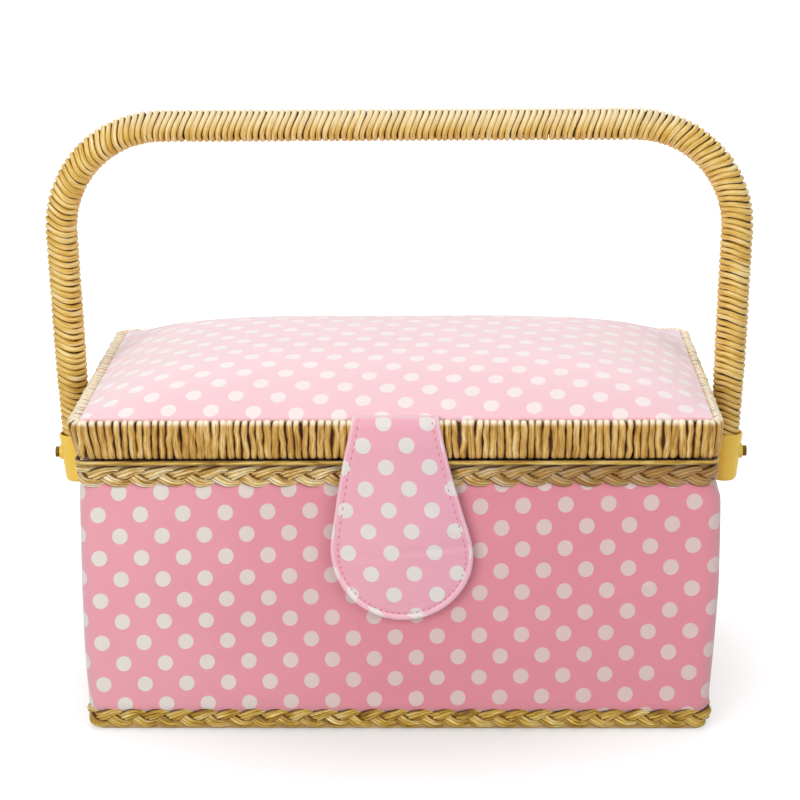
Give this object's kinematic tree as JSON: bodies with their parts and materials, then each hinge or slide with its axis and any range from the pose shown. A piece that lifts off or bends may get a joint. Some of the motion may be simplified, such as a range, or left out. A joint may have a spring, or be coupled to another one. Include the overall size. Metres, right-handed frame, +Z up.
{
  "type": "sewing box",
  "caption": "Rectangular fabric covered sewing box with a padded hinged lid, a magnetic closing tab, straw trim, an inner tray and a swinging wound handle.",
  "frame": {"origin": "middle of the base, on the surface that the box stands on", "axes": "+X to the right seen from the front, front and tab towards -Y, +Z up"},
  "size_m": [0.3214, 0.1801, 0.2639],
  "materials": {
    "board": "plain board",
    "dotted_fabric": "pink cotton with white dots",
    "folded_edge": "folded fabric edge",
    "lining": "satin lining",
    "paper_twine": "natural paper twine",
    "base_straw": "golden straw braid",
    "ledge_wood": "plain wood",
    "steel": "plain steel",
    "screw_bronze": "dark bronze",
    "nylon": "matt",
    "hinge_brass": "satin",
    "rod_cane": "bent cane",
    "socket_plastic": "moulded yellow",
    "tray_plastic": "frosted clear plastic"
  },
  "bodies": {
    "box": {"base_board": "board", "front_board": "board", "back_board": "board", "left_board": "board", "right_board": "board", "body_cover": "dotted_fabric", "body_lining": "lining", "top_braid": "paper_twine", "base_braid": "base_straw", "tray_ledges": "ledge_wood", "keeper_plate": "steel", "pivot_screws": "screw_bronze", "pivot_nuts": "steel", "pivot_spacers": "nylon", "hinge_lower_leaves": "hinge_brass", "hinge_pins": "hinge_brass", "hinge_lower_screws": "hinge_brass"},
    "lid": {"lid_frame": "board", "lid_panel": "board", "lid_cushion": "dotted_fabric", "lid_lining": "lining", "lid_rim_winding": "paper_twine", "lid_edge_cord": "paper_twine", "hinge_upper_leaves": "hinge_brass", "hinge_upper_screws": "hinge_brass", "tab_anchor": "dotted_fabric"},
    "tab": {"tab_flap": "dotted_fabric", "tab_piping": "folded_edge", "tab_magnet": "steel"},
    "handle": {"handle_rod": "rod_cane", "handle_winding": "paper_twine", "socket_left": "socket_plastic", "socket_right": "socket_plastic"},
    "tray": {"tray": "tray_plastic", "tray_partitions": "tray_plastic"}
  },
  "joints": [
    {"name": "lid_hinge", "type": "hinge", "parent": "box", "child": "lid", "pos_m": [0, 0.087, 0.12365], "axis": [-1, 0, 0], "range_deg": [0, 40]},
    {"name": "tab_fold", "type": "hinge", "parent": "lid", "child": "tab", "pos_m": [0, -0.0874, 0.1429], "axis": [-1, 0, 0], "range_deg": [0, 90]},
    {"name": "handle_swing", "type": "hinge", "parent": "box", "child": "handle", "pos_m": [0, 0, 0.104], "axis": [1, 0, 0], "range_deg": [-120, 120]},
    {"name": "tray_lift", "type": "slide", "parent": "box", "child": "tray", "axis": [0, 0, 1], "range_m": [0, 0.012]}
  ]
}
